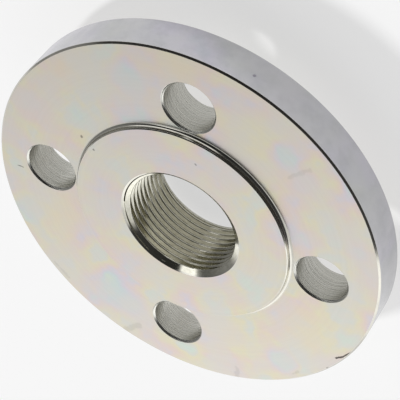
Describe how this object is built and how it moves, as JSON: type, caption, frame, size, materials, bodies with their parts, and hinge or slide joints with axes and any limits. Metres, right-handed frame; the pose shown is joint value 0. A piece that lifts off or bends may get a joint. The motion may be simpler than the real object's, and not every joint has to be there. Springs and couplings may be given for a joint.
{
  "type": "threaded flange",
  "caption": "Round steel pipe flange with a raised sealing face, a short hub, a parallel-threaded bore and a circle of bolt holes.",
  "frame": {"origin": "centre of the hub's end face, on the bore's axis", "axes": "+Z along the bore from the hub to the raised face; the bolt holes lie midway between the X and Y axes"},
  "size_m": [0.14, 0.14, 0.026],
  "materials": {
    "zinc_plated_steel": "turned steel with a pale passivated zinc plating, satin, with faint rainbow patches"
  },
  "bodies": {
    "root": {"threaded_flange": "zinc_plated_steel"}
  },
  "joints": []
}
